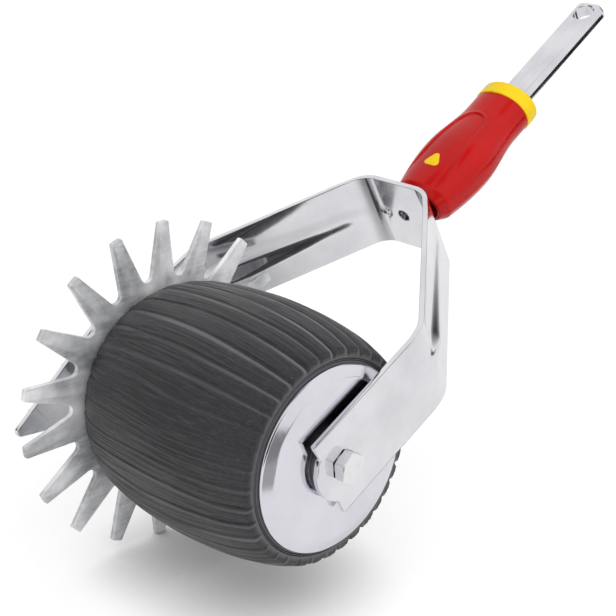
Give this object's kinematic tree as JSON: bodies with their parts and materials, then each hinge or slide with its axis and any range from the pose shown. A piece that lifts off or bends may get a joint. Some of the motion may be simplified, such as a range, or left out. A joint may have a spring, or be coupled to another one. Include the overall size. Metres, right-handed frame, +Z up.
{
  "type": "rotary lawn edger head",
  "caption": "Rotary lawn edger head: a star-shaped cutting wheel and a ribbed rubber roller turn on one axle in a bent steel fork, with a red grip and a flat tang for a long handle.",
  "frame": {"origin": "on the floor under the middle of the whole tool, which stands on its star wheel with the fork rising to the handle", "axes": "+X along the axle from the star wheel to the end disc, +Y level from the roller towards the handle, +Z up"},
  "size_m": [0.1994, 0.4138, 0.2688],
  "materials": {
    "polished_steel": "bright plated steel, polished, with soft streaks along the strip",
    "blade_steel": "satin zinc-plated sheet steel with rolling streaks",
    "tang_steel": "plated flat bar, fine satin",
    "zinc_steel": "bright zinc-plated fasteners and turned pieces",
    "black_rubber": "moulded charcoal rubber with lengthwise ribs",
    "drum_plastic": "moulded black drum halves",
    "bearing_nylon": "natural nylon",
    "red_plastic": "moulded red plastic, satin",
    "yellow_plastic": "moulded yellow plastic, satin"
  },
  "bodies": {
    "root": {"axle_bolt": "zinc_steel", "axle_nut": "zinc_steel", "axle_sleeve": "zinc_steel", "badge_inlay": "yellow_plastic", "collar_ring": "yellow_plastic", "fork": "polished_steel", "grip_sleeve": "red_plastic", "left_spacer": "zinc_steel", "left_thrust_washer": "zinc_steel", "nut_insert": "bearing_nylon", "nut_washer": "zinc_steel", "right_thrust_washer": "zinc_steel", "tang": "tang_steel", "tang_weld": "polished_steel"},
    "roller": {"star_blade": "blade_steel", "blade_clamp_plate": "blade_steel", "blade_screws": "zinc_steel", "rubber_tyre": "black_rubber", "left_core": "drum_plastic", "right_core": "drum_plastic", "core_screws": "zinc_steel", "left_bush": "bearing_nylon", "right_bush": "bearing_nylon", "end_disc": "polished_steel"}
  },
  "joints": [
    {"name": "roller_spin", "type": "hinge", "parent": "root", "child": "roller", "pos_m": [-0.04548, -0.11471, 0.09248], "axis": [1, 0, 0], "continuous": true}
  ]
}
